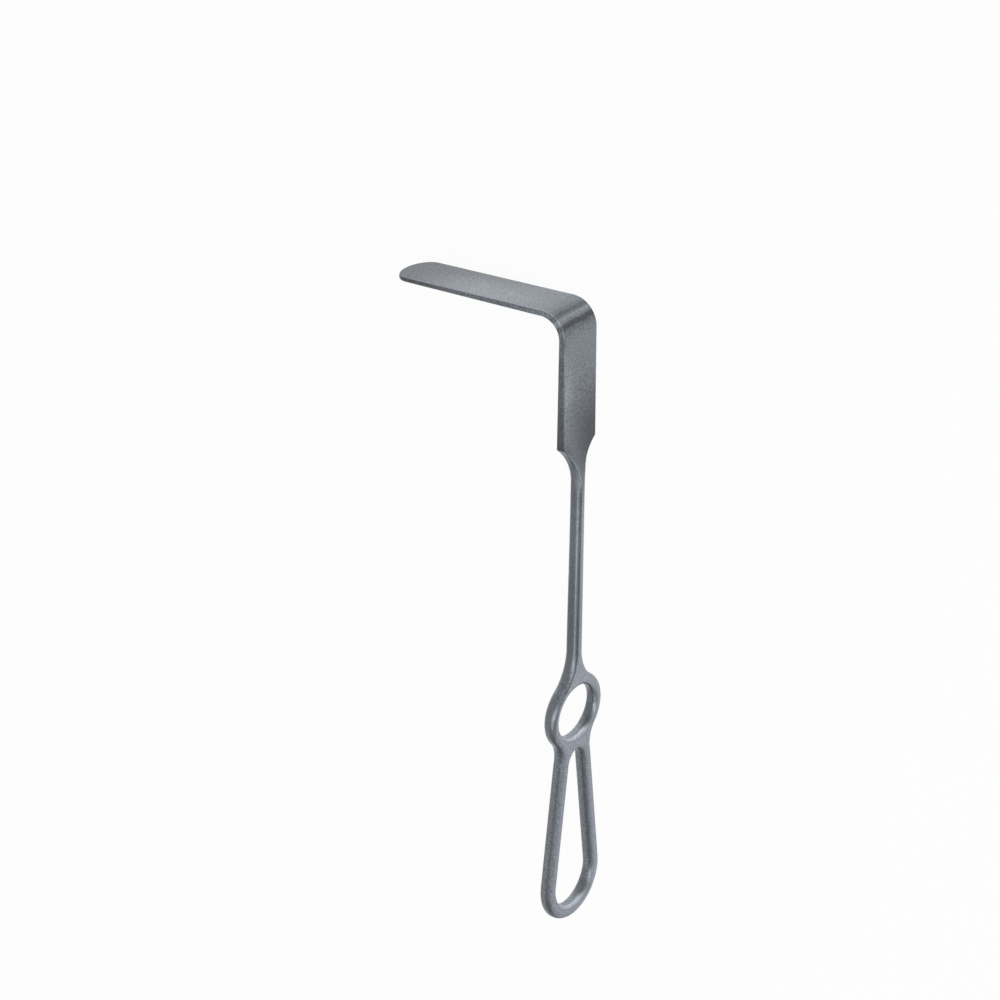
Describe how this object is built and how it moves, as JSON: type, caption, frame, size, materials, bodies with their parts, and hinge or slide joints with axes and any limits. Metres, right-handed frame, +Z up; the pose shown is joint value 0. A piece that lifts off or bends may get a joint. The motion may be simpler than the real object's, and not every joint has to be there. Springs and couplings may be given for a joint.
{
  "type": "hand-held surgical retractor",
  "caption": "Hand-held retractor: flat round-tipped blade bent square from a flat shank, slim shaft, finger ring and long open loop.",
  "frame": {"origin": "on the surface that the retractor lies on, under the centre of its bounding box", "axes": "+X along the handle towards the blade, +Y the way the blade points, +Z up; it lies on its side"},
  "size_m": [0.2272, 0.0716, 0.0347],
  "materials": {
    "steel": "satin"
  },
  "bodies": {
    "root": {"retractor": "steel"}
  },
  "joints": []
}
